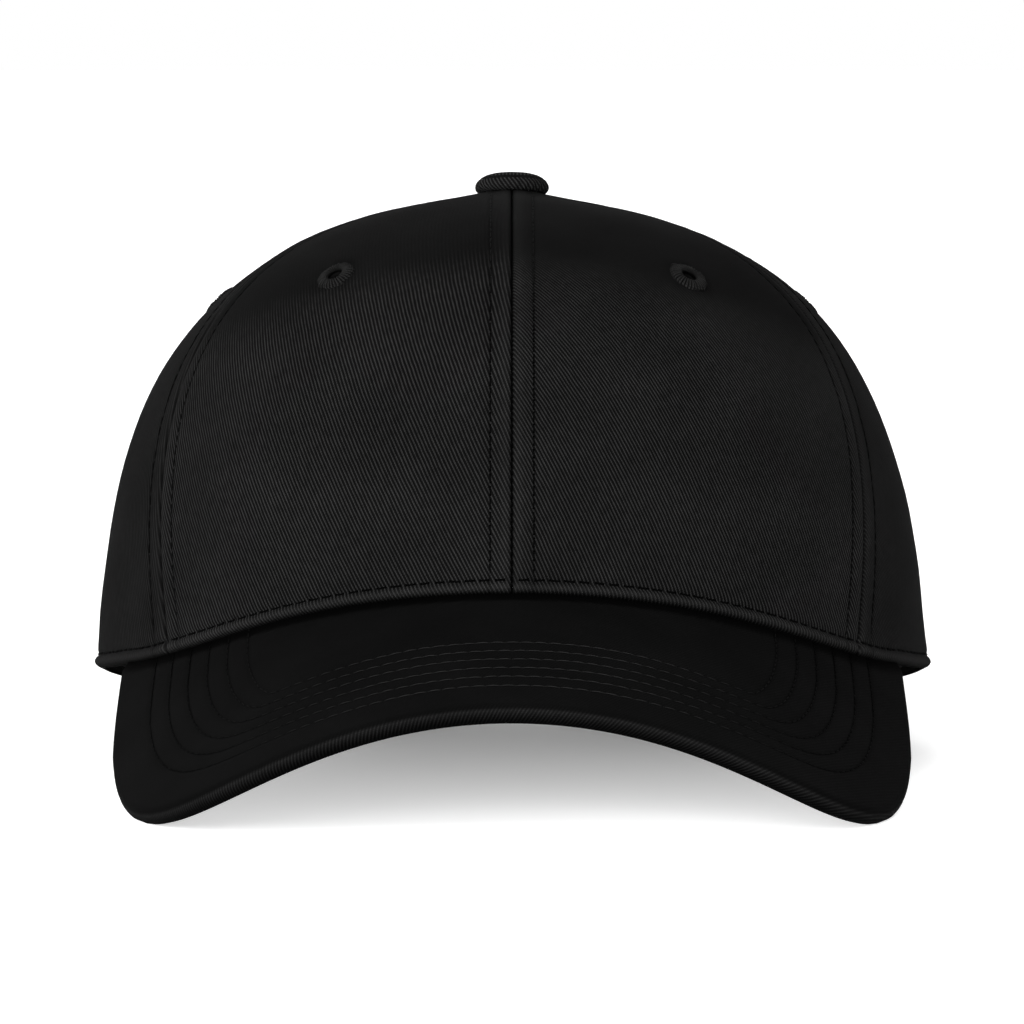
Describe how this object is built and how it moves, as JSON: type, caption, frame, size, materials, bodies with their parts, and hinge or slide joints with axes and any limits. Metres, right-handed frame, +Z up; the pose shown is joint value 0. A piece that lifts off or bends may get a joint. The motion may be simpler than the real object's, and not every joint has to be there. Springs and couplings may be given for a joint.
{
  "type": "baseball cap",
  "caption": "Six-panel black baseball cap with a curved visor, covered top button, stitched eyelets and a flip-buckle strap across a half-moon opening at the back.",
  "frame": {"origin": "on the floor, under the middle of the cap's overall box", "axes": "+Z up, +Y towards the back of the cap, -Y towards the visor, +X to the wearer's left"},
  "size_m": [0.183, 0.2619, 0.1284],
  "materials": {
    "panel": "black cotton twill, matt, steep diagonal wale",
    "buckram": "stiff open-weave buckram",
    "seam_tape": "black folded cotton tape",
    "sweatband": "black cotton twill over a soft pad",
    "thread": "black embroidery thread, slight sheen",
    "visor_cloth": "black cotton twill, matt",
    "visor_board": "plain moulded sheet",
    "button_cloth": "black cotton twill stretched over the shell",
    "steel": "zinc plated",
    "strap_cloth": "black cotton twill, folded and stitched",
    "brass": "antique, darkened",
    "label": "woven, blank"
  },
  "bodies": {
    "cap": {"buckle_anchor_loop": "strap_cloth", "buckle_frame": "brass", "buckle_pin": "steel", "button_cover": "button_cloth", "button_rivet": "steel", "button_shell": "steel", "button_washer": "steel", "eyelet_front_left": "thread", "eyelet_front_right": "thread", "eyelet_rear_left": "thread", "eyelet_rear_right": "thread", "eyelet_side_left": "thread", "eyelet_side_right": "thread", "front_buckram_left": "buckram", "front_buckram_right": "buckram", "front_panel_left": "panel", "front_panel_right": "panel", "inner_label": "label", "opening_binding": "seam_tape", "rear_panel_left": "panel", "rear_panel_right": "panel", "seam_tape_centre_back": "seam_tape", "seam_tape_centre_front": "seam_tape", "seam_tape_front_left": "seam_tape", "seam_tape_front_right": "seam_tape", "seam_tape_rear_left": "seam_tape", "seam_tape_rear_right": "seam_tape", "side_panel_left": "panel", "side_panel_right": "panel", "sweatband": "sweatband", "visor_board": "visor_board", "visor_lower_fabric": "visor_cloth", "visor_upper_fabric": "visor_cloth"},
    "strap": {"adjusting_strap": "strap_cloth"},
    "lever": {"buckle_lever": "brass"}
  },
  "joints": [
    {"name": "strap_adjust", "type": "hinge", "parent": "cap", "child": "strap", "pos_m": [0, 0.04412, 0.01646], "axis": [0, 0.1702, 0.9854], "range_deg": [-8, 8]},
    {"name": "lever_flip", "type": "hinge", "parent": "cap", "child": "lever", "pos_m": [0.01254, 0.12809, 0.01379], "axis": [-0.0196, 0.0859, 0.9961], "range_deg": [0, 100]}
  ]
}
